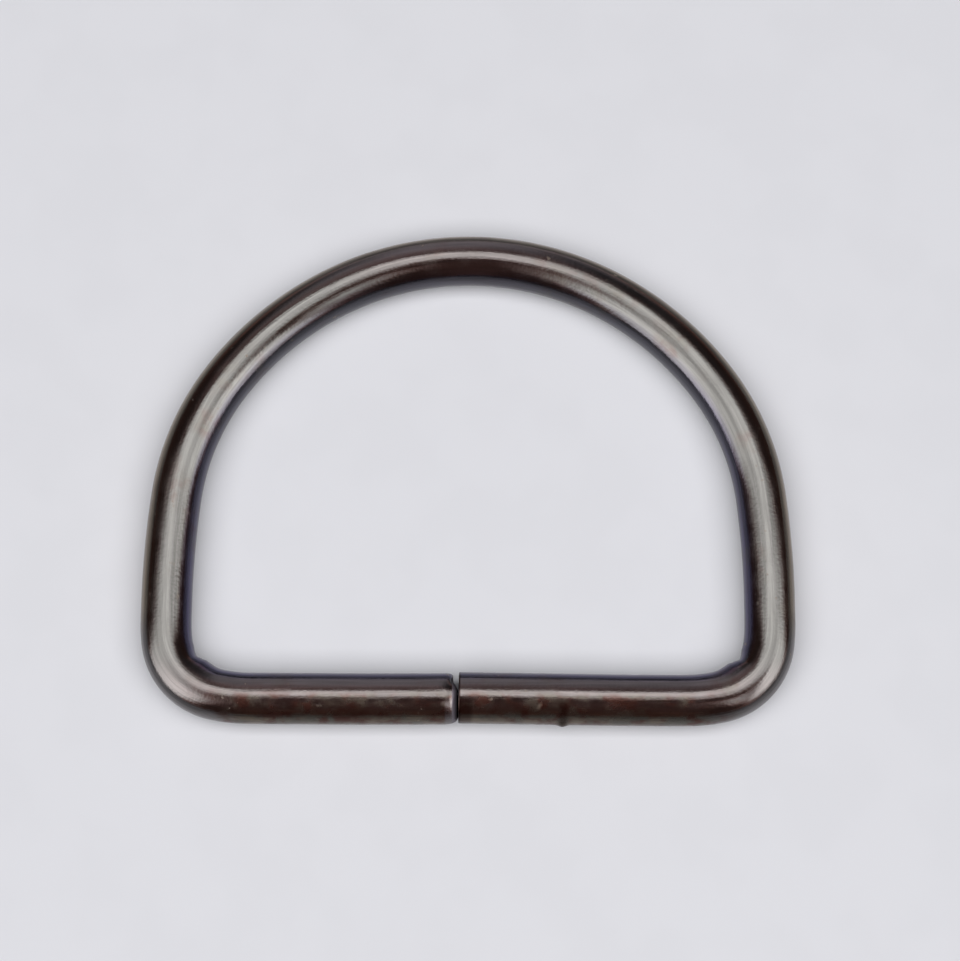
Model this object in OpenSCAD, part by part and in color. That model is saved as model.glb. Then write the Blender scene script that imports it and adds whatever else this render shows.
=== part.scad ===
// D ring for a strap: one length of round steel wire bent into a D.
// The straight bar lies along X, the bow rises towards +Y, and the ring lies on its side on Z = 0.
// The two ends of the wire meet a little left of the middle of the bar, and aren't joined.

/* [Wire] */
// Diameter of the wire
wire_d = 3.5; // [2:0.1:5]

/* [Ring] */
// Clear width between the legs, which is the widest strap that the bar takes
strap_w = 38; // [25:0.5:60]
// Straight stretch of the left leg, between the bow and the corner bend
leg_len = 1.1; // [0.4:0.05:20]
// Inside radius of the tight part of each corner bend
bend_r = 2.75; // [1.5:0.05:4.5]
// How much nearer to the bow the right half of the bar lies, its leg being that much shorter
bar_step = 0.05; // [0:0.01:0.3]

/* [Bend swells] */
// Height of the metal squeezed up on the inside of each corner bend
swell_rise = 0.2; // [0.05:0.05:0.4]
// How far round the corner bend the swell lies, in degrees from the leg
swell_turn = 58; // [30:1:70]

/* [Joint] */
// Clearance between the wire's two ends where they come closest
joint_gap = 0.1; // [0.05:0.05:2]
// How far the joint lies left of the ring's middle line
joint_shift = 0.65; // [0:0.05:5]
// Slant of the left end's cut, in degrees
cut_slant = 7; // [0:1:15]
// Radius of the left end's edge, rolled over by the cutter
left_edge_r = 0.6; // [0.1:0.05:0.9]
// Radius of the right end's edge
right_edge_r = 0.3; // [0.1:0.05:0.9]

/* [Hidden] */
$fn = 64;

// Degrees by which arcs run on into their neighbours, far too little to change a size. Without it
// a rounding error can leave a crack where two stretches of the wire only touch.
LAP = 1e-6;

// The wire is a chain of arcs. A row is an arc's turn in degrees and its radius,
// as a share of the crown's radius in the bow and of the tight part's in the bend.
// From the crown's middle down to a leg
BOW = [
    [30,   1.00],
    [24,   1.10],
    [29.5, 0.90],
    [6.5,  3.20],
];
// From a leg round the corner to the bar
BEND = [
    [7,  3.1],
    [73, 1.0],
    [10, 3.1],
];

wire_r = wire_d / 2;
half_w = strap_w / 2 + wire_r;
tight_r = bend_r + wire_r;
swell_r = 0.75 * wire_r;

function arc_turn(arc) = arc[0];
function arc_share(arc) = arc[1];
// Towards the outside of the bend, where the wire heads h degrees clockwise from +X
function outside(h) = [sin(h), cos(h)];
// The wire's heading where arc i of a chain starts
function heading(chain, first, i) = i == 0 ? first : heading(chain, first, i - 1) + arc_turn(chain[i - 1]);
// Where arc i of a chain starts, seen from the chain's own start, for a radius of 1
function reach(chain, first, i) = i == 0 ? [0, 0] : reach(chain, first, i - 1)
    + arc_share(chain[i - 1]) * (outside(heading(chain, first, i)) - outside(heading(chain, first, i - 1)));

// The crown's radius is the one at which the bow spans the strap's width
crown_r = half_w / reach(BOW, 0, len(BOW))[0];
bow_end = crown_r * reach(BOW, 0, len(BOW));
bend_end = tight_r * reach(BEND, 90, len(BEND));
// Crown to bar, between the middles of the wire
axis_h = leg_len - bow_end[1] - bend_end[1];
crown_top = [0, axis_h / 2];
leg_top = crown_top + bow_end;

// Moves its children in two steps, the second a tiny one, so that neighbouring stretches
// of wire meet exactly also where a length has many digits
module place(to) {
    near = [for (c = to) round(1000 * c) / 1000];
    translate(near)
        translate(to - near)
            children();
}

// The wire along one arc, round a centre in the ring's plane
module arc_wire(centre, radius, first, turn) {
    place(centre)
        rotate_extrude(start = 450 - first - turn - LAP, angle = turn + 2 * LAP)
            place([radius, 0])
                circle(r = wire_r);
}

// The wire along a chain of arcs, but for the first few
module chain_wire(chain, start, first, unit_r, skip = 0) {
    for (i = [skip : len(chain) - 1]) {
        from = heading(chain, first, i);
        radius = unit_r * arc_share(chain[i]);
        centre = start + unit_r * reach(chain, first, i) - radius * outside(from);
        arc_wire(centre, radius, from, arc_turn(chain[i]));
    }
}

// A half of the bar with its end: a straight stretch along +Z that ends in a rounded edge
module ended_wire(length, edge_r) {
    rotate_extrude() {
        square([wire_r, length - edge_r]);
        square([wire_r - edge_r, length]);
        translate([wire_r - edge_r, length - edge_r])
            intersection() {
                circle(r = edge_r);
                square(edge_r);
            }
    }
}

// The metal squeezed up on the inside of the corner bend below a leg's foot
module swell(foot) {
    from = heading(BEND, 90, 1);
    centre = foot + tight_r * reach(BEND, 90, 1) - tight_r * outside(from);
    translate(centre + (tight_r - wire_r - swell_rise + swell_r) * outside(90 + swell_turn))
        sphere(r = swell_r);
}

// The middle of the bow, which is one arc for both halves
module crown() {
    arc_wire(crown_top - crown_r * outside(0), crown_r, -arc_turn(BOW[0]), 2 * arc_turn(BOW[0]));
}

// One half of the ring from the crown round to the bar, on the right side. The children are its
// half of the bar, and stand along +Z.
module half_ring(leg) {
    foot = leg_top - [0, leg];
    chain_wire(BOW, crown_top, 0, crown_r, 1);
    place(foot)
        rotate([-90, 0, 0])
            cylinder(r = wire_r, h = leg);
    chain_wire(BEND, foot, 90, tight_r);
    swell(foot);
    place(foot + bend_end)
        rotate([0, -90, 0])
            children();
}

// Length of the half of the bar that ends at x, on the right side
function bar_len(x) = leg_top[0] + bend_end[0] - x;

module right_half() {
    half_ring(leg_len - bar_step)
        ended_wire(bar_len(joint_gap / 2 - joint_shift), right_edge_r);
}

// The left end is cut square and then slanted, so its rounded edge stays whole on the bar's outer
// side and is cut away on the inner side
module left_half() {
    length = bar_len(joint_gap / 2 + joint_shift);
    mirror([1, 0, 0])
        half_ring(leg_len)
            difference() {
                ended_wire(length, left_edge_r);
                translate([0, 0, length - wire_r * tan(cut_slant)])
                    rotate([-cut_slant, 0, 0])
                        translate([-wire_d, -wire_d, 0])
                            cube(2 * wire_d);
            }
}

module ring() {
    color("#4a4648")
        translate([0, 0, wire_r]) {
            crown();
            right_half();
            left_half();
        }
}

ring();
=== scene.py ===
"""A D ring of plated round wire, lying on a pale table under soft studio light.

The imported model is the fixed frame. One piece, the bent wire, stands for its node and adds what the plain
solid leaves out: the creases and swells inside the corner bends, the cutter's rolled edges, the burr and
the plating.
"""

import math
from types import SimpleNamespace

import bpy
import numpy as np
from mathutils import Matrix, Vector


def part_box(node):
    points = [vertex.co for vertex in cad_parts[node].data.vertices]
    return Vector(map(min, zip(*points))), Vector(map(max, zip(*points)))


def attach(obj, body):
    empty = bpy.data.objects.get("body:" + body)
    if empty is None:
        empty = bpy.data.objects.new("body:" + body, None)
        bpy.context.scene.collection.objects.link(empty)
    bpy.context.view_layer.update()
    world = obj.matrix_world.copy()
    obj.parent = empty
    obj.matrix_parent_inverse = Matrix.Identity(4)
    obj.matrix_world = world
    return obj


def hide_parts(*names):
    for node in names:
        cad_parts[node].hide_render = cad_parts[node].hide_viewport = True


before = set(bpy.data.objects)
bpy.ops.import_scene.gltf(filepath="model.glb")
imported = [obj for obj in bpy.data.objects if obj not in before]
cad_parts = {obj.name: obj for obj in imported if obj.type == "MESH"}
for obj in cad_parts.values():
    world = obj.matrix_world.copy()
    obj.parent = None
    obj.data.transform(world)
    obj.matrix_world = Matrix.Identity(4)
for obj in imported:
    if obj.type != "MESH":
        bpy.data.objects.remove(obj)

bl_info = {
    "name": "D ring of plated wire",
    "version": (1, 0, 0),
    "blender": (4, 5, 0),
    "location": "3D View > Sidebar > D ring",
    "description": "Bends and plates the wire of a strap ring, and sets up its table, light and camera",
    "category": "Object",
}

MM = 0.001
RING_LOW, RING_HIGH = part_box("ring")

# Arcs from the crown's middle down to a leg, and from the leg round to the bar: the turn in degrees, and
# the radius as a share of the crown's or of the tight bend's
BOW = [(30.0, 1.00), (24.0, 1.10), (29.5, 0.90), (6.5, 3.20)]
BEND = [(7.0, 3.1), (73.0, 1.0), (10.0, 3.1)]
# Stretches of the bar's halves from the bend on: the turn in degrees and the length in millimetres
RIGHT_BAR = [(0.0, 2.5), (0.62, 2.0), (0.0, 16.0)]
LEFT_BAR = [(0.0, 6.5), (0.5, 3.0), (0.0, 12.0)]

# Along the wire, in millimetres: the step at which its middle line is worked out, the length over which
# one curvature eases into the next, and how far from the crown all of the wire is the bar's
LINE_STEP = 0.02
EASING = 0.9
BAR_FROM = 40.0
# Millimetres between rings of points at a mark, and how many spacings are tried on the way along the wire
FINE_SPACING = 0.07
SPACINGS = 20000
# The wire's headings at the crests of the two swells, in degrees
SWELL_HEADINGS = (-134, 135)
# The rolled edge of the left end: the angle round the wire where it is widest, its least width and its
# rise as shares of its base radius, the rise's sharpness, and how slowly it starts
ROLL_ANGLE = 0.95
ROLL_LEAST = 0.12
ROLL_RISE = 1.45
ROLL_SHARPNESS = 1.2
ROLL_DRAW = 0.9
# Rings of points over each rolled edge, and from the edge to the middle of the end's face
LEFT_ROLL_RINGS = 22
RIGHT_ROLL_RINGS = 9
FACE_RINGS = 7

# The photograph's height, which the wider side of the camera's sensor stands for
FRAME_PIXELS = 961
SENSOR_MM = 36.0


# Shapes


def follow(stretches, step, ease):
    """Distance, place and heading along a chain of stretches, from the crown's middle clockwise.

    The curvature of a stretch is its turn over its length, averaged over the easing distance, so that
    one bend flows into the next. The heading is the running sum of the curvature, and the place is the
    running sum of the heading's direction, taken at the middle of each step.
    """
    turn, length = np.array(stretches).T
    ends = np.cumsum(length)
    count = int(ends[-1] / step)
    middle = (np.arange(count) + 0.5) * step
    curvature = (np.radians(turn) / length)[np.searchsorted(ends, middle)]
    width = 2 * int(ease / step / 2) + 1
    padded = np.pad(curvature, width // 2, mode="edge")
    curvature = np.convolve(padded, np.ones(width) / width, "valid")
    heading = np.cumsum(curvature) * step
    halfway = heading - curvature * step / 2
    x = np.cumsum(np.cos(halfway)) * step
    y = -np.cumsum(np.sin(halfway)) * step
    return [np.concatenate([[0.0], values]) for values in (middle + step / 2, x, y, heading)]


def arcs(chain, radius):
    """Stretches for a chain of arcs: each turn, with its length, which is radius times turn in radians."""
    return [(turn, math.radians(turn) * radius * share) for turn, share in chain]


def crown_radius(half_width):
    """The crown's radius at which the bow reaches the half width.

    An arc moves sideways by its radius times the rise in the heading's sine.
    """
    turn, share = np.array(BOW).T
    sines = np.sin(np.radians(np.concatenate([[0.0], np.cumsum(turn)])))
    return half_width / (share * np.diff(sines)).sum()


def wire_route(half_width, leg, bend_r, crown_y):
    """The whole wire's middle line, in millimetres: distance from the crown, x, y and heading.

    The left half is the right half's formula mirrored, with its distances and headings turned negative.
    """
    bow = arcs(BOW, crown_radius(half_width))
    bend = arcs(BEND, bend_r)
    right = follow([*bow, (0.0, leg), *bend, *RIGHT_BAR], LINE_STEP, EASING)
    left = follow([*bow, (0.0, leg), *bend, *LEFT_BAR], LINE_STEP, EASING)
    lines = []
    for sign, from_left, from_right in zip((-1, -1, 1, -1), left, right):
        lines.append(np.concatenate([sign * from_left[:0:-1], from_right]))
    lines[2] = lines[2] + crown_y
    return lines


def stations(start, end, marks, coarse, fine):
    """Distances along the wire, closer together near the marks.

    The spacing dips from coarse to fine in a bell around each mark (place, width). The number of steps up
    to a point is the running sum of one over the spacing, and whole numbers of steps are the stations.
    """
    s = np.linspace(start, end, SPACINGS)
    dips = [np.exp(-(((s - place) / width) ** 4)) for place, width in marks]
    spacing = coarse - (coarse - fine) * np.max(dips, axis=0)
    steps = np.concatenate([[0.0], np.cumsum((1 / spacing[1:] + 1 / spacing[:-1]) / 2 * np.diff(s))])
    return np.interp(np.linspace(0, steps[-1], int(steps[-1]) + 1), steps, s)


def smooth(x, low, high):
    """0 up to low, 1 from high on, and the cubic 3t^2 - 2t^3 between."""
    t = np.clip((x - low) / (high - low), 0, 1)
    return t * t * (3 - 2 * t)


def rolled_edge(around, base):
    """Radius of the left end's edge round the wire, widest on the upper outer side.

    It is the base radius times the least share plus the rise times a hump. The hump is half of one plus
    the cosine of the angle from the widest place, to the power of the sharpness.
    """
    hump = 0.5 + 0.5 * np.cos(around - ROLL_ANGLE)
    return base * (ROLL_LEAST + ROLL_RISE * hump**ROLL_SHARPNESS)


def end_cap(tip, sign, edge, draw, radius, rings):
    """Rings that round off one end of the wire and close its face, as distances and radii.

    Over a quarter turn u, with k = 1 - sin u, a ring stands edge * (k + draw * k^3) short of the tip and
    edge * (1 - cos u) inside the wire's radius. The face's rings follow, each a smaller share of the
    flat's radius.
    """
    u = np.linspace(0, np.pi / 2, rings)[:, None]
    short = (1 - np.sin(u)) + draw * (1 - np.sin(u)) ** 3
    s = tip - sign * edge * short
    r = radius - edge * (1 - np.cos(u))
    share = np.linspace(1, 0, FACE_RINGS + 1)[1:-1, None]
    face_s = np.broadcast_to(s[-1], (FACE_RINGS - 1, s.shape[1]))
    return np.concatenate([s, face_s]), np.concatenate([r, r[-1] * share])


def tube_faces(rings, sides):
    """Quads between neighbouring rings, and a fan from each end ring to its pole."""
    i, j = np.meshgrid(np.arange(rings - 1), np.arange(sides), indexing="ij")
    a = i * sides + j
    b = i * sides + (j + 1) % sides
    quads = np.stack([a, b, b + sides, a + sides], axis=-1).reshape(-1, 4)
    j = np.arange(sides)
    tail = (rings - 1) * sides
    first_pole = rings * sides
    last_pole = first_pole + 1
    start = np.stack([np.full(sides, first_pole), (j + 1) % sides, j], axis=-1)
    finish = np.stack([np.full(sides, last_pole), tail + j, tail + (j + 1) % sides], axis=-1)
    return quads, np.concatenate([start, finish])


def mesh_object(name, points, quads, triangles, attributes):
    """A smooth-shaded object from arrays of points and faces, with a vector attribute for each name."""
    mesh = bpy.data.meshes.new(name)
    loops = np.concatenate([quads.ravel(), triangles.ravel()]).astype(np.int32)
    sizes = np.concatenate([np.full(len(quads), 4), np.full(len(triangles), 3)]).astype(np.int32)
    mesh.vertices.add(len(points))
    mesh.vertices.foreach_set("co", points.astype(np.float32).ravel())
    mesh.loops.add(len(loops))
    mesh.loops.foreach_set("vertex_index", loops)
    mesh.polygons.add(len(sizes))
    mesh.polygons.foreach_set("loop_start", (np.cumsum(sizes) - sizes).astype(np.int32))
    mesh.polygons.foreach_set("loop_total", sizes)
    mesh.polygons.foreach_set("use_smooth", np.ones(len(sizes), bool))
    for attribute, values in attributes.items():
        layer = mesh.attributes.new(attribute, "FLOAT_VECTOR", "POINT")
        layer.data.foreach_set("vector", values.astype(np.float32).ravel())
    mesh.update(calc_edges=True)
    mesh.validate()
    piece = bpy.data.objects.new(name, mesh)
    bpy.context.scene.collection.objects.link(piece)
    return piece


def swell_shape(turned, corner, crease, rise):
    """How far the inside of a corner bend stands proud, by degrees turned into the bend.

    The leg's inner side runs on nearly straight up to a blunt inner corner, over the last 18 degrees of
    which it sinks below the bend's arc by the crease. The crease ends 8 degrees on. The swell begins 5
    degrees past the corner, is highest at 18 and has died away at 54.
    """
    approach, crease_end, foot, crest, fade = 18, 8, 5, 18, 54
    sunk = crease * smooth(turned, corner - approach, corner)
    sunk = sunk * (1 - smooth(turned, corner, corner + crease_end))
    proud = rise * smooth(turned, corner + foot, corner + crest)
    proud = proud * (1 - smooth(turned, corner + crest, corner + fade))
    return proud - sunk


def mark_places(marks, s_line, x_line):
    """Distances along the wire of its left tip, its right tip and the burr, from their places in x."""
    left = s_line < -BAR_FROM
    right = s_line > BAR_FROM
    left_tip = float(np.interp(-marks.left_end / MM, -x_line[left], s_line[left]))
    right_tip = float(np.interp(-marks.right_end / MM, -x_line[right], s_line[right]))
    burr = float(np.interp(-marks.burr_x / MM, -x_line[right], s_line[right]))
    return left_tip, right_tip, burr


def plain_rings(wire, marks, radius, around, tips, close):
    """The wire without its marks, as grids of distance along it and of radius: one row for each ring."""
    left_tip, right_tip = tips
    left_edge = rolled_edge(around, marks.left_edge_r / MM)
    right_edge = marks.right_edge_r / MM * np.ones_like(around)
    start = left_tip + 2.0 * left_edge.max()
    end = right_tip - right_edge.max() - 0.05
    body = stations(start, end, close, wire.spacing / MM, FINE_SPACING)
    left_s, left_r = end_cap(left_tip, -1, left_edge, ROLL_DRAW, radius, LEFT_ROLL_RINGS)
    right_s, right_r = end_cap(right_tip, 1, right_edge, 0.0, radius, RIGHT_ROLL_RINGS)
    body_s = np.broadcast_to(body[:, None], (len(body), wire.sides))
    body_r = np.full((len(body), wire.sides), radius)
    return np.concatenate([left_s[::-1], body_s, right_s]), np.concatenate([left_r[::-1], body_r, right_r])


def marked_radius(marks, s, r, turned, around, burr_s, radius):
    """The radius with the swells on the bends' inner sides and the burr on the bar's outer side.

    A swell fades round the wire in a bell about 0.75 radians wide. The burr is a bell 0.34 mm wide along
    the wire and 0.50 mm round it.
    """
    inner_side = np.abs(around - np.pi)
    facing_in = np.exp(-((inner_side / 0.75) ** 2)) * (inner_side < 2.2)
    swell = marks.swell / MM
    left = swell_shape(turned, math.degrees(marks.left_corner), marks.left_crease / MM, swell)
    right = swell_shape(turned, math.degrees(marks.right_corner), marks.right_crease / MM, swell)
    r = r + np.where(s < 0, left, right) * facing_in
    turn_away = np.minimum(around, 2 * np.pi - around)
    burr = np.exp(-(((s - burr_s) / 0.34) ** 2 + (radius * turn_away / 0.50) ** 2))
    return r + marks.burr / MM * burr


def cut_short(marks, s, r, around, left_tip, radius):
    """Distances with the left end cut short on its inner side.

    The cut takes away the wire's width times its slant's tangent where the wire faces in by 1.15 mm or
    more, and nothing up to 0.25 mm. That fades out from 0.9 to 3.0 mm from the tip.
    """
    taken = 2 * radius * math.tan(marks.cut_slant) * smooth(-r * np.cos(around), 0.25, 1.15)
    return s + taken * (1 - smooth(s, left_tip + 0.9, left_tip + 3.0))


def bent_wire(wire, marks):
    """The bent wire as one closed surface on a grid of distance along it by angle round it.

    A point is the middle line at its distance, plus its radius times the cosine of its angle towards the
    outside of the D and the sine upwards. The swells and the burr add to the radius.
    """
    radius = wire.wire_d / MM / 2
    crown_y = RING_HIGH.y / MM - radius
    half_width = (RING_HIGH.x - RING_LOW.x) / 2 / MM - radius
    bend_r = wire.bend_r / MM + radius
    s_line, x_line, y_line, h_line = wire_route(half_width, wire.leg_l / MM, bend_r, crown_y)
    left_tip, right_tip, burr_s = mark_places(marks, s_line, x_line)
    around = np.linspace(0, 2 * np.pi, wire.sides, endpoint=False)[None, :]

    # The marks' places, and how far round each the rings lie close
    left_crest, right_crest = (float(np.interp(h, np.degrees(h_line), s_line)) for h in SWELL_HEADINGS)
    close = [(left_crest, 2.0), (right_crest, 2.0), (burr_s, 0.6), (left_tip, 1.8), (right_tip, 1.4)]
    s, r = plain_rings(wire, marks, radius, around, (left_tip, right_tip), close)
    turned = np.abs(np.degrees(np.interp(s, s_line, h_line))) - 90
    r = marked_radius(marks, s, r, turned, around, burr_s, radius)
    s = cut_short(marks, s, r, around, left_tip, radius)

    x, y, heading = (np.interp(s, s_line, line) for line in (x_line, y_line, h_line))
    out = r * np.cos(around)
    up = r * np.sin(around)
    points = np.stack([x + out * np.sin(heading), y + out * np.cos(heading), radius + up], axis=-1)
    along = np.stack([s, out, up], axis=-1)
    poles = np.stack([points[0].mean(0), points[-1].mean(0)])
    pole_marks = np.stack([along[0].mean(0), along[-1].mean(0)])
    quads, triangles = tube_faces(len(s), wire.sides)
    points = np.concatenate([points.reshape(-1, 3), poles]) * MM
    along = np.concatenate([along.reshape(-1, 3), pole_marks]) * MM
    return mesh_object("bent_wire", points, quads, triangles, {"along_wire": along})


# Nodes


def plug(tree, socket, value):
    """Sets a socket to a plain value, or links it to another node's output."""
    if isinstance(value, bpy.types.NodeSocket):
        tree.links.new(value, socket)
    else:
        socket.default_value = value


def node(tree, kind, settings=None, **values):
    """A new node with its settings, and its inputs set by name. Words in a name are joined by underscores."""
    made = tree.nodes.new(kind)
    for name, value in (settings or {}).items():
        setattr(made, name, value)
    for name, value in values.items():
        plug(tree, made.inputs[name.replace("_", " ")], value)
    return made


def math_of(tree, operation, *values):
    """The output of a Math node on up to three values."""
    made = tree.nodes.new("ShaderNodeMath")
    made.operation = operation
    for socket, value in zip(made.inputs, values):
        plug(tree, socket, value)
    return made.outputs[0]


def chained(tree, operation, values):
    """The first value with each of the others worked in by the operation, in turn."""
    result = values[0]
    for value in values[1:]:
        result = math_of(tree, operation, result, value)
    return result


def product(tree, *values):
    """All the values multiplied together."""
    return chained(tree, "MULTIPLY", values)


def total(tree, *values):
    """All the values added together."""
    return chained(tree, "ADD", values)


def largest(tree, *values):
    """The largest of the values."""
    return chained(tree, "MAXIMUM", values)


def minus(tree, value, less):
    """One value less another."""
    return math_of(tree, "SUBTRACT", value, less)


def magnitude(tree, value):
    """A value without its sign."""
    return math_of(tree, "ABSOLUTE", value)


def ramp(tree, value, low, high, at_low=0.0, at_high=1.0):
    """A smooth step from one value at low to another at high. Low may be above high."""
    made = node(tree, "ShaderNodeMapRange", {"interpolation_type": "SMOOTHSTEP"}, Value=value)
    for name, number in (("From Min", low), ("From Max", high), ("To Min", at_low), ("To Max", at_high)):
        made.inputs[name].default_value = number
    return made.outputs["Result"]


def blend(tree, factor, first, second):
    """Two colours mixed by a factor. A Mix node has its factor at input 0 and its colours at 6 and 7."""
    made = tree.nodes.new("ShaderNodeMix")
    made.data_type = "RGBA"
    for index, value in ((0, factor), (6, first), (7, second)):
        plug(tree, made.inputs[index], value)
    return made.outputs[2]


def opaque(colour, share=1.0):
    """A share of a colour, with full alpha."""
    return (*(share * part for part in colour), 1.0)


def noise(tree, vector, scale, detail=2.0, roughness=0.5):
    """The value of a noise texture."""
    made = node(tree, "ShaderNodeTexNoise", Vector=vector, Scale=scale, Detail=detail, Roughness=roughness)
    return made.outputs[0]


def stretched(tree, vector, share):
    """A vector with only a share of its first part, which stretches a pattern that way."""
    return node(tree, "ShaderNodeMapping", Vector=vector, Scale=(share, 1.0, 1.0)).outputs[0]


def new_group(name, inputs, outputs):
    """An empty shader node group with its sockets, and its two end nodes."""
    group = bpy.data.node_groups.new(name, "ShaderNodeTree")
    for label, kind, default in inputs:
        socket = group.interface.new_socket(label, in_out="INPUT", socket_type=kind)
        if default is not None:
            socket.default_value = default
    for label, kind in outputs:
        group.interface.new_socket(label, in_out="OUTPUT", socket_type=kind)
    return group, group.nodes.new("NodeGroupInput"), group.nodes.new("NodeGroupOutput")


def fine_grain_group():
    """A fine two-scale grain as a height and a mask, for any surface with its coordinates in metres."""
    group, inside, outside = new_group(
        "fine_grain",
        [("Vector", "NodeSocketVector", None), ("Grain Size", "NodeSocketFloat", 0.0003)],
        [("Height", "NodeSocketFloat"), ("Mask", "NodeSocketFloat")],
    )
    scale = math_of(group, "DIVIDE", 1.0, inside.outputs["Grain Size"])
    small = noise(group, inside.outputs["Vector"], scale, 3.0, 0.6)
    large = noise(group, inside.outputs["Vector"], math_of(group, "DIVIDE", scale, 7.0), 2.0)
    height = total(group, product(group, small, 0.6), product(group, large, 0.4))
    plug(group, outside.inputs["Height"], height)
    plug(group, outside.inputs["Mask"], ramp(group, large, 0.40, 0.62))
    return group


# Materials. All lengths in them are in metres.


def wire_coordinates(tree):
    """Where a point of the wire is.

    The attribute along_wire gives its distance along the wire, its reach to the outside of the D and its
    height, all from the wire's middle. Object coordinates give its place.
    """
    place = node(tree, "ShaderNodeTexCoord").outputs["Object"]
    along = node(tree, "ShaderNodeAttribute", {"attribute_name": "along_wire"}).outputs["Vector"]
    distance, outwards, height = node(tree, "ShaderNodeSeparateXYZ", Vector=along).outputs
    split = node(tree, "ShaderNodeSeparateXYZ", Vector=place).outputs
    return SimpleNamespace(
        place=place,
        x=split["X"],
        y=split["Y"],
        along=along,
        distance=distance,
        outwards=outwards,
        height=height,
    )


def plating_patterns(tree, at, grain):
    """What covers the plating all over: drawing streaks, mottling, tarnish, specks and a fine grain.

    Tarnish lies on most of the bar but for its inner side, and faintly in patches elsewhere.
    """
    streaks = noise(tree, stretched(tree, at.along, 0.05), 4200.0, 3.0, 0.6)
    mottle = noise(tree, stretched(tree, at.along, 0.6), 1100.0, 3.0, 0.55)
    fine = node(tree, "ShaderNodeGroup", {"node_tree": grain}, Vector=at.place, Grain_Size=0.0002)
    past_bends = ramp(tree, magnitude(tree, at.distance), 0.043, 0.047)
    on_bar = product(tree, past_bends, ramp(tree, at.outwards, -0.0003, 0.0005))
    elsewhere = product(tree, ramp(tree, noise(tree, at.place, 260.0), 0.50, 0.66), 0.35)
    tarnish = product(tree, ramp(tree, mottle, 0.34, 0.62), largest(tree, on_bar, elsewhere))
    spots = ramp(tree, noise(tree, at.place, 1700.0, 1.5), 0.67, 0.84)
    clusters = ramp(tree, noise(tree, at.place, 240.0), 0.44, 0.58)
    return SimpleNamespace(
        streaks=streaks, mottle=mottle, fine=fine, tarnish=tarnish, specks=product(tree, spots, clusters)
    )


def clean_plate(tree, at, look):
    """The clean plate's colour by place: blue inside the D, warm outside it, and neutral at the bends.

    A blush lies at the crown and on the bar. The blue is painted reflection: it stands in for the blue
    reflection along the inner side. The warm tone is painted reflection too, paler than the plate and paler
    still off the bar, and a pale neutral grey at the bends: it stands in for the bright reflection along the
    outer rim. The blue and the warm tone fade out low on the wire, and the height where they do leans with
    the place along Y.
    """
    near_crown_or_bar = ramp(tree, magnitude(tree, at.y), 0.0125, 0.0160)
    plate = blend(tree, near_crown_or_bar, opaque(look.plate), opaque(look.blush))

    lean = product(tree, at.y, 0.03)
    inner_top = ramp(tree, total(tree, at.height, lean), -0.0006, 0.0)
    outer_top = ramp(tree, minus(tree, at.height, lean), -0.0006, 0.0)
    towards_bar = ramp(tree, at.y, 0.010, -0.010, 0.3, 1.0)
    # Painted reflection: a blue tint on the inner side that stands in for the blue reflection seen there,
    # stronger towards the bar.
    blue_reflection_tint = product(tree, ramp(tree, at.outwards, -0.0009, -0.0014), towards_bar, inner_top)
    plate = blend(tree, blue_reflection_tint, plate, opaque(look.inside))

    # Painted reflection: a warm, pale tone on the outer side that stands in for the bright reflection along
    # the outer rim. It is paler still off the bar and a pale neutral grey at the bends.
    off_bar = ramp(tree, at.y, -0.0135, -0.009)
    warm = blend(tree, off_bar, opaque(look.outside), opaque(look.outside, 1.7))
    beside_bend = ramp(tree, magnitude(tree, at.x), 0.0150, 0.0172)
    at_bend = product(tree, beside_bend, ramp(tree, at.y, -0.0095, -0.0125))
    warm = blend(tree, at_bend, warm, opaque(look.bend))
    outer_side = product(tree, ramp(tree, at.outwards, 0.0008, 0.0015), outer_top)
    return blend(tree, outer_side, plate, warm)


def joint_marks(tree, at):
    """Masks for the marks at the joint and the burr, on the bar alone.

    One mask is painted shade: it darkens the outer side beside the joint and round the burr. Another is a
    painted pale patch that stands in for light, where the left end's rolled edge begins on its outer side.
    The scuff is on that end beside the gap, and the last mask is painted shade on the right end beside the
    gap, where the left end blocks what it would mirror.
    """
    on_bar = ramp(tree, at.y, -0.0130, -0.0136)
    from_joint = magnitude(tree, total(tree, at.x, 0.0002))
    from_burr = magnitude(tree, minus(tree, at.x, 0.0065))
    nearest = math_of(tree, "MINIMUM", from_joint, total(tree, from_burr, 0.0002))
    outer_side = ramp(tree, at.outwards, 0.0003, 0.0008)
    # Painted shade: darkens the outer side beside the joint and round the burr.
    joint_and_burr_shade = product(tree, ramp(tree, nearest, 0.0007, 0.0003), outer_side, on_bar, 0.6)

    # Painted light: a paler patch where the left end's rolled edge begins on its outer side, standing in for
    # light seen at the joint's lower corner.
    from_roll = magnitude(tree, total(tree, at.x, 0.00124))
    upper_outer_side = ramp(tree, at.outwards, 0.0002, 0.0007)
    painted_light = product(tree, ramp(tree, from_roll, 0.00038, 0.00018), upper_outer_side, on_bar, 0.7)

    from_gap = magnitude(tree, total(tree, at.x, 0.00088))
    left_of_gap = ramp(tree, at.x, -0.00062, -0.00066)
    scuff = product(tree, ramp(tree, from_gap, 0.00020, 0.00013), left_of_gap, on_bar)

    # Painted shade: darkens the right end beside the gap, where the left end blocks what it would mirror.
    right_edge = ramp(tree, at.x, -0.00042, -0.00054)
    right_of_gap = ramp(tree, at.x, -0.000645, -0.000625)
    right_end_shade = product(tree, right_edge, right_of_gap, on_bar, 0.85)
    return SimpleNamespace(joint_and_burr_shade=joint_and_burr_shade, painted_light=painted_light, scuff=scuff, right_end_shade=right_end_shade)


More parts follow.
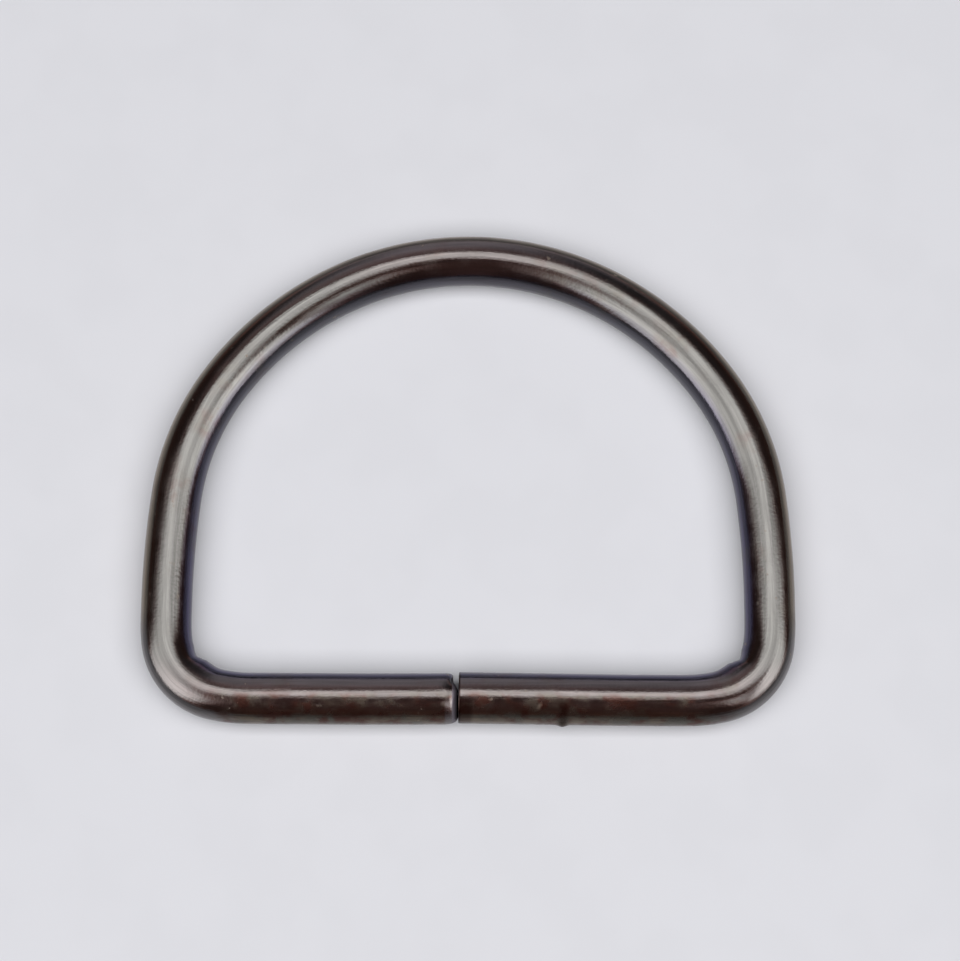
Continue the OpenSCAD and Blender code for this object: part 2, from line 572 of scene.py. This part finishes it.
def plating_material(look, grain):
    """Dark nickel plate: a mirror-like metal with drawing streaks, a fine grain and brown tarnish."""
    material = bpy.data.materials.new("dark_nickel_plate")
    material.use_nodes = True
    tree = material.node_tree
    shader = tree.nodes["Principled BSDF"]
    at = wire_coordinates(tree)
    cover = plating_patterns(tree, at, grain)
    marks = joint_marks(tree, at)

    brown_or_green = ramp(tree, noise(tree, at.place, 950.0, 2.0), 0.39, 0.61)
    tarnish = blend(tree, brown_or_green, opaque(look.tarnish), opaque(look.verdigris))
    plate = clean_plate(tree, at, look)
    plate = blend(tree, ramp(tree, cover.streaks, 0.62, 0.36, 0.0, 0.35), plate, opaque(look.plate, 0.5))
    plate = blend(tree, cover.tarnish, plate, tarnish)
    # Painted shade beside the joint and round the burr.
    plate = blend(tree, marks.joint_and_burr_shade, plate, opaque(look.tarnish, 0.4))
    plate = blend(tree, product(tree, cover.specks, 0.8), plate, opaque(look.speck))
    # Painted light: a paler patch on the left end's rolled corner.
    plate = blend(tree, marks.painted_light, plate, opaque(look.painted_light))
    plate = blend(tree, marks.scuff, plate, opaque(look.scuff))
    # Painted shade on the right end beside the gap.
    plate = blend(tree, marks.right_end_shade, plate, opaque(look.tarnish, 0.3))
    plug(tree, shader.inputs["Base Color"], plate)

    dull = largest(tree, product(tree, cover.specks, 0.7), product(tree, marks.scuff, 0.5))
    plug(tree, shader.inputs["Metallic"], minus(tree, 1.0, dull))
    rough = total(
        tree,
        look.roughness,
        product(tree, cover.fine.outputs["Mask"], 0.05),
        product(tree, cover.tarnish, 0.12),
        product(tree, cover.specks, 0.25),
        product(tree, marks.scuff, 0.20),
    )
    plug(tree, shader.inputs["Roughness"], rough)

    relief = total(
        tree,
        product(tree, cover.streaks, 0.0000090),
        product(tree, cover.fine.outputs["Height"], 0.000014),
        product(tree, cover.mottle, 0.0000040),
    )
    bump = node(tree, "ShaderNodeBump", Height=relief, Strength=1.0, Distance=1.0)
    plug(tree, shader.inputs["Normal"], bump.outputs[0])
    return material


def table_material(look, grain):
    """A plain pale board with a faint fine grain.

    What the plating mirrors of it is darker, and the more so the flatter the mirrored ray meets it.
    """
    material = bpy.data.materials.new("pale_table")
    material.use_nodes = True
    tree = material.node_tree
    shader = tree.nodes["Principled BSDF"]
    place = node(tree, "ShaderNodeTexCoord").outputs["Object"]
    fine = node(tree, "ShaderNodeGroup", {"node_tree": grain}, Vector=place, Grain_Size=0.0009)
    pale = blend(tree, fine.outputs["Mask"], opaque(look.table), opaque(look.table, 0.985))
    flat = node(tree, "ShaderNodeLayerWeight", Blend=0.5).outputs["Facing"]
    mirrored = blend(tree, ramp(tree, flat, 0.25, 1.05), opaque(look.table, 0.78), opaque(look.table, 0.22))
    by_plating = node(tree, "ShaderNodeLightPath").outputs["Is Glossy Ray"]
    plug(tree, shader.inputs["Base Color"], blend(tree, by_plating, pale, mirrored))
    shader.inputs["Roughness"].default_value = 0.75
    shader.inputs["Specular IOR Level"].default_value = 0.0
    return material


# Light. The sky is drawn on a flat map: a direction (x, y, z) is seen at a = x / (1.02 + z) and
# b = y / (1.02 + z), with the point overhead in the middle. The 0.02 keeps both finite straight down.
# wide is a without its sign, and far is the panels' far edge.


def far_edge(tree, a, b):
    """1 inside the panels' edge away from the camera and 0 beyond it. The edge slopes to both sides."""
    step = ramp(tree, a, -0.10, 0.0, 0.0, 0.01)
    over_left = total(tree, minus(tree, b, product(tree, a, 0.28)), step)
    left = ramp(tree, over_left, 0.305, 0.155)
    slope = product(tree, math_of(tree, "MINIMUM", a, 0.35), 0.25)
    right = ramp(tree, total(tree, b, slope), 0.350, 0.15)
    right_corner = ramp(tree, total(tree, b, product(tree, a, 0.55)), 0.60, 0.33)
    return math_of(tree, "MINIMUM", left, product(tree, right, right_corner))


def left_panel(tree, a, b, far):
    """The broad panel on the left, brighter towards the camera and cut off at its near inner corner."""
    outer = ramp(tree, a, -1.40, -0.52)
    inner = ramp(tree, minus(tree, a, product(tree, b, 0.10)), 0.00, -0.31)
    inner_fade = ramp(tree, a, -0.14, -0.42, 0.93, 1.0)
    near = ramp(tree, b, -0.88, -0.32)
    near_brighter = ramp(tree, b, -0.02, -0.28, 0.74, 1.04)
    corner = ramp(tree, minus(tree, b, product(tree, a, 0.70)), -0.46, -0.16)
    return product(tree, outer, inner, far, inner_fade, near, near_brighter, corner)


def right_panel(tree, a, b, far):
    """The broad panel on the right, brighter towards the camera. Its inner edge leans."""
    outer = ramp(tree, a, 1.10, 0.50)
    inner = ramp(tree, total(tree, a, product(tree, b, 0.30)), 0.22, 0.365)
    near = ramp(tree, b, -0.80, -0.20)
    near_brighter = ramp(tree, b, 0.05, -0.20, 0.90, 1.12)
    return product(tree, outer, inner, far, near, near_brighter)


def overhead_strip(tree, a, b, wide, far):
    """The strip that joins the two panels overhead, brightest in its middle."""
    ends = ramp(tree, wide, 0.75, 0.35)
    bowed = total(tree, b, ramp(tree, wide, 0.03, 0.12, 0.0, 0.05))
    near = ramp(tree, bowed, -0.12, 0.10)
    left_dimmer = ramp(tree, a, -0.03, -0.22, 1.0, 0.72)
    right_dimmer = ramp(tree, a, 0.08, 0.22, 1.0, 0.72)
    return product(tree, ends, far, near, 0.95, left_dimmer, right_dimmer)


def near_lobe(tree, a, b):
    """A fainter leaning patch between the panels, nearer the camera."""
    leaning = total(tree, a, product(tree, b, 0.60))
    left = ramp(tree, leaning, -0.14, 0.02)
    right = ramp(tree, leaning, 0.22, 0.06)
    return product(tree, left, right, ramp(tree, b, -0.14, -0.31), ramp(tree, b, -0.64, -0.36), 0.47)


def dim_room(tree, a, b, wide):
    """What is seen past the panels: a dark room with a window and a brighter far wall behind.

    A doorway is on the near side, and the floor's pale edge is low on both sides.
    """
    window_left = ramp(tree, a, -0.36, -0.08)
    window_right = ramp(tree, minus(tree, a, product(tree, b, 0.3)), 0.04, -0.20)
    window = product(tree, window_left, window_right, ramp(tree, b, 0.1, 0.4), 0.60)
    wall = product(tree, ramp(tree, b, 0.55, 0.95), 0.55)
    doorway = product(tree, ramp(tree, wide, 0.16, 0.04), ramp(tree, b, -0.05, -0.20), 0.08)
    reach = math_of(tree, "SQRT", total(tree, product(tree, a, a), product(tree, b, b)))
    low = ramp(tree, reach, 0.6, 1.05)
    floor = product(tree, low, ramp(tree, b, 0.10, -0.15), ramp(tree, wide, 0.30, 0.80), 0.62)
    return total(tree, largest(tree, window, wall, floor, doorway), 0.08)


def studio_world(look):
    """The soft panels that the wire mirrors, drawn by direction. They don't light the table.

    Two soft panels spread down to the left and right like a bow tie and are joined by a strip overhead.
    The rest is a dark warm room with a faint window far behind.
    """
    world = bpy.data.worlds.new("studio")
    bpy.context.scene.world = world
    world.use_nodes = True
    world.cycles_visibility.diffuse = False
    tree = world.node_tree
    direction = node(tree, "ShaderNodeTexCoord").outputs["Generated"]
    x, y, z = node(tree, "ShaderNodeSeparateXYZ", Vector=direction).outputs
    below = total(tree, z, 1.02)
    a = math_of(tree, "DIVIDE", x, below)
    b = math_of(tree, "DIVIDE", y, below)
    wide = magnitude(tree, a)

    far = far_edge(tree, a, b)
    panels = largest(
        tree,
        left_panel(tree, a, b, far),
        right_panel(tree, a, b, far),
        overhead_strip(tree, a, b, wide, far),
        near_lobe(tree, a, b),
    )
    window_side = product(tree, ramp(tree, b, 0.1, 0.6), ramp(tree, wide, 0.50, 0.20))
    dim = blend(tree, window_side, opaque(look.room), opaque(look.window))
    colour = blend(tree, ramp(tree, panels, 0.0, 0.45), dim, opaque(look.panel))
    strength = largest(tree, product(tree, panels, look.panel_strength), dim_room(tree, a, b, wide))
    background = tree.nodes["Background"]
    plug(tree, background.inputs["Color"], colour)
    plug(tree, background.inputs["Strength"], strength)
    return world


# Settings


class DRingWire(bpy.types.PropertyGroup):
    """Sizes of the wire and how finely it is drawn."""

    wire_d: bpy.props.FloatProperty(
        name="Wire",
        description="Diameter of the wire",
        default=RING_HIGH.z - RING_LOW.z,
        unit="LENGTH",
    )
    leg_l: bpy.props.FloatProperty(
        name="Leg",
        description="Straight stretch between the bow and a corner bend",
        default=0.001315,
        unit="LENGTH",
    )
    bend_r: bpy.props.FloatProperty(
        name="Bend",
        description="Inside radius of the tight part of a corner bend",
        default=0.0026,
        unit="LENGTH",
    )
    spacing: bpy.props.FloatProperty(
        name="Spacing",
        description="Distance between rings of points along the wire",
        default=0.00022,
        unit="LENGTH",
    )
    sides: bpy.props.IntProperty(
        name="Sides",
        description="Points in each ring round the wire",
        default=112,
    )


class DRingMarks(bpy.types.PropertyGroup):
    """Marks that the bending and cutting left."""

    swell: bpy.props.FloatProperty(
        name="Swell",
        description="Height of the metal squeezed up inside a corner bend",
        default=0.00016,
        unit="LENGTH",
    )
    left_crease: bpy.props.FloatProperty(
        name="Left crease",
        description="Depth of the left bend's inner corner before its swell",
        default=0.00013,
        unit="LENGTH",
    )
    right_crease: bpy.props.FloatProperty(
        name="Right crease",
        description="Depth of the right bend's inner corner before its swell",
        default=0.00019,
        unit="LENGTH",
    )
    left_corner: bpy.props.FloatProperty(
        name="Left corner",
        description="How far round the left bend its inner corner is",
        default=math.radians(35.5),
        subtype="ANGLE",
    )
    right_corner: bpy.props.FloatProperty(
        name="Right corner",
        description="How far round the right bend its inner corner is",
        default=math.radians(36.5),
        subtype="ANGLE",
    )
    right_end: bpy.props.FloatProperty(
        name="Right end",
        description="Where the wire's right end stops along the bar",
        default=-0.00061,
        unit="LENGTH",
    )
    left_end: bpy.props.FloatProperty(
        name="Left end",
        description="Where the wire's left end stops along the bar",
        default=-0.00064,
        unit="LENGTH",
    )
    cut_slant: bpy.props.FloatProperty(
        name="Slant",
        description="Slant of the left end's cut",
        default=math.radians(5.4),
        subtype="ANGLE",
    )
    left_edge_r: bpy.props.FloatProperty(
        name="Left edge",
        description="Base radius of the left end's rolled-over edge, which changes round the wire",
        default=0.0006,
        unit="LENGTH",
    )
    right_edge_r: bpy.props.FloatProperty(
        name="Right edge",
        description="Radius of the right end's edge",
        default=0.00008,
        unit="LENGTH",
    )
    burr: bpy.props.FloatProperty(
        name="Burr",
        description="Height of the small burr on the outer side of the bar",
        default=0.00016,
        unit="LENGTH",
    )
    burr_x: bpy.props.FloatProperty(
        name="Burr's place",
        description="How far right of the middle the burr is",
        default=0.00649,
        unit="LENGTH",
    )


class DRingLook(bpy.types.PropertyGroup):
    """Colours and light."""

    plate: bpy.props.FloatVectorProperty(
        name="Plate",
        description="Colour of the clean plating",
        default=(0.138, 0.138, 0.134),
        subtype="COLOR",
    )
    blush: bpy.props.FloatVectorProperty(
        name="Blush",
        description="Colour of the plating at the crown and on the bar",
        default=(0.147, 0.134, 0.134),
        subtype="COLOR",
    )
    # Painted reflection: this blue tint stands in for the blue reflection along the inner side of the D.
    inside: bpy.props.FloatVectorProperty(
        name="Inside",
        description="Colour of the plating towards the inside of the D",
        default=(0.122, 0.111, 0.185),
        subtype="COLOR",
    )
    # Painted reflection: this warm, pale tone stands in for the bright reflection along the outer rim.
    outside: bpy.props.FloatVectorProperty(
        name="Outside",
        description="Colour of the plating on the outer side",
        default=(0.198, 0.162, 0.125),
        subtype="COLOR",
    )
    # Painted reflection: this pale neutral grey stands in for the bright outer rim at the corner bends.
    bend: bpy.props.FloatVectorProperty(
        name="Bend",
        description="Colour of the plating on the outer side of the corner bends",
        default=(0.222, 0.208, 0.208),
        subtype="COLOR",
    )
    tarnish: bpy.props.FloatVectorProperty(
        name="Tarnish",
        description="Colour of the brown tarnish",
        default=(0.102, 0.052, 0.042),
        subtype="COLOR",
    )
    verdigris: bpy.props.FloatVectorProperty(
        name="Verdigris",
        description="Colour of the tarnish where it turns grey-green",
        default=(0.128, 0.118, 0.100),
        subtype="COLOR",
    )
    # Painted light: colour of a pale patch that stands in for light at the left end's rolled corner.
    painted_light: bpy.props.FloatVectorProperty(
        name="Worn",
        description="Colour of the left end's worn corner",
        default=(0.190, 0.172, 0.180),
        subtype="COLOR",
    )
    scuff: bpy.props.FloatVectorProperty(
        name="Scuff",
        description="Colour of the scuffed edge at the joint",
        default=(0.128, 0.113, 0.134),
        subtype="COLOR",
    )
    speck: bpy.props.FloatVectorProperty(
        name="Speck",
        description="Colour of the pale specks",
        default=(0.20, 0.155, 0.115),
        subtype="COLOR",
    )
    roughness: bpy.props.FloatProperty(
        name="Roughness",
        description="Roughness of the clean plating",
        default=0.13,
        subtype="FACTOR",
    )
    table: bpy.props.FloatVectorProperty(
        name="Table",
        description="Colour of the table",
        default=(0.769, 0.770, 0.812),
        subtype="COLOR",
    )
    panel: bpy.props.FloatVectorProperty(
        name="Panels",
        description="Colour of the soft panels",
        default=(1.0, 0.968, 0.950),
        subtype="COLOR",
    )
    room: bpy.props.FloatVectorProperty(
        name="Room",
        description="Colour of the dark room",
        default=(1.0, 0.52, 0.45),
        subtype="COLOR",
    )
    window: bpy.props.FloatVectorProperty(
        name="Window",
        description="Colour of the faint light far behind",
        default=(1.0, 0.92, 1.0),
        subtype="COLOR",
    )
    panel_strength: bpy.props.FloatProperty(
        name="Panel strength",
        description="Light from the panels",
        default=3.5,
    )
    overhead_power: bpy.props.FloatProperty(
        name="Overhead power",
        description="Power of the lamp over the table",
        default=11.5,
        unit="POWER",
    )


class DRingCamera(bpy.types.PropertyGroup):
    """Where the camera stands."""

    aim: bpy.props.FloatVectorProperty(
        name="Aim",
        description="Point that the camera looks at",
        default=(0.00077, -0.00036, 0.00175),
        subtype="TRANSLATION",
    )
    azimuth: bpy.props.FloatProperty(
        name="Azimuth",
        description="Turn round the upright axis",
        default=math.radians(0.31),
        subtype="ANGLE",
    )
    elevation: bpy.props.FloatProperty(
        name="Elevation",
        description="Height above the horizon",
        default=math.radians(74),
        subtype="ANGLE",
    )
    distance: bpy.props.FloatProperty(
        name="Distance",
        description="Distance from the aim",
        default=0.209,
        unit="LENGTH",
    )
    pixels_away: bpy.props.FloatProperty(
        name="Distance in pixels",
        description="Distance in pixels of the picture, which sets the lens",
        default=3000.0,
        subtype="PIXEL",
    )


# Operators


class DRING_OT_wire(bpy.types.Operator):
    """Bend the wire into its D, plate it, and let it stand for the ring"""

    bl_idname = "dring.wire"
    bl_label = "Bend and plate the wire"

    def execute(self, context):
        scene = context.scene
        piece = bent_wire(scene.dring_wire, scene.dring_marks)
        piece.data.materials.append(plating_material(scene.dring_look, fine_grain_group()))
        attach(piece, "root")
        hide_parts("ring")
        return {"FINISHED"}


class DRING_OT_stage(bpy.types.Operator):
    """Lay the table, hang the lights and set up the camera"""

    bl_idname = "dring.stage"
    bl_label = "Table, light and camera"

    def execute(self, context):
        scene = context.scene
        look = scene.dring_look
        grain = bpy.data.node_groups.get("fine_grain") or fine_grain_group()
        self.lay_table(scene, look, grain)
        studio_world(look)
        self.hang_lamp(scene, look)
        self.place_camera(scene, scene.dring_camera)
        scene.view_settings.view_transform = "Standard"
        return {"FINISHED"}

    def lay_table(self, scene, look, grain):
        """A flat square, large enough to fill every view down to its horizon."""
        half_width = 3.0
        corners = np.array([(-1, -1), (1, -1), (1, 1), (-1, 1)]) * half_width
        mesh = bpy.data.meshes.new("table")
        mesh.from_pydata([(x, y, 0.0) for x, y in corners], [], [(0, 1, 2, 3)])
        mesh.materials.append(table_material(look, grain))
        table = bpy.data.objects.new("table", mesh)
        scene.collection.objects.link(table)

    def hang_lamp(self, scene, look):
        """A broad soft lamp that lights the table. The plating mirrors the panels, and not this lamp."""
        place = Vector((0.0, -0.2, 0.8))
        light = bpy.data.lights.new("overhead", "AREA")
        light.shape = "RECTANGLE"
        light.size = 1.6
        light.size_y = 0.9
        light.energy = look.overhead_power
        lamp = bpy.data.objects.new("overhead", light)
        lamp.location = place
        lamp.rotation_euler = place.to_track_quat("Z", "Y").to_euler()
        lamp.visible_glossy = False
        scene.collection.objects.link(lamp)

    def place_camera(self, scene, shot):
        """Stands back from the aim by the distance, along the view's azimuth and elevation."""
        level = math.cos(shot.elevation)
        back = Vector((
            math.sin(shot.azimuth) * level,
            -math.cos(shot.azimuth) * level,
            math.sin(shot.elevation),
        ))
        data = bpy.data.cameras.new("camera")
        data.sensor_width = SENSOR_MM
        data.lens = SENSOR_MM * shot.pixels_away / FRAME_PIXELS
        data.clip_start = 0.01
        data.clip_end = 20.0
        camera = bpy.data.objects.new("camera", data)
        camera.location = Vector(shot.aim) + back * shot.distance
        camera.rotation_euler = back.to_track_quat("Z", "Y").to_euler()
        scene.collection.objects.link(camera)
        scene.camera = camera


class DRING_PT_panel(bpy.types.Panel):
    """Settings and steps of the D ring"""

    bl_label = "D ring"
    bl_idname = "DRING_PT_panel"
    bl_space_type = "VIEW_3D"
    bl_region_type = "UI"
    bl_category = "D ring"

    def draw(self, context):
        for name in SETTINGS:
            settings = getattr(context.scene, name)
            for setting in settings.__annotations__:
                self.layout.prop(settings, setting)
        for operator in (DRING_OT_wire, DRING_OT_stage):
            self.layout.operator(operator.bl_idname)


SETTINGS = {
    "dring_wire": DRingWire,
    "dring_marks": DRingMarks,
    "dring_look": DRingLook,
    "dring_camera": DRingCamera,
}
CLASSES = (*SETTINGS.values(), DRING_OT_wire, DRING_OT_stage, DRING_PT_panel)


def register():
    for each in CLASSES:
        bpy.utils.register_class(each)
    for name, group in SETTINGS.items():
        setattr(bpy.types.Scene, name, bpy.props.PointerProperty(type=group))


def unregister():
    for name in SETTINGS:
        delattr(bpy.types.Scene, name)
    for each in reversed(CLASSES):
        bpy.utils.unregister_class(each)


def main():
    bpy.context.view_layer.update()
    register()
    bpy.ops.dring.wire()
    bpy.ops.dring.stage()


if __name__ == "__main__":
    main()
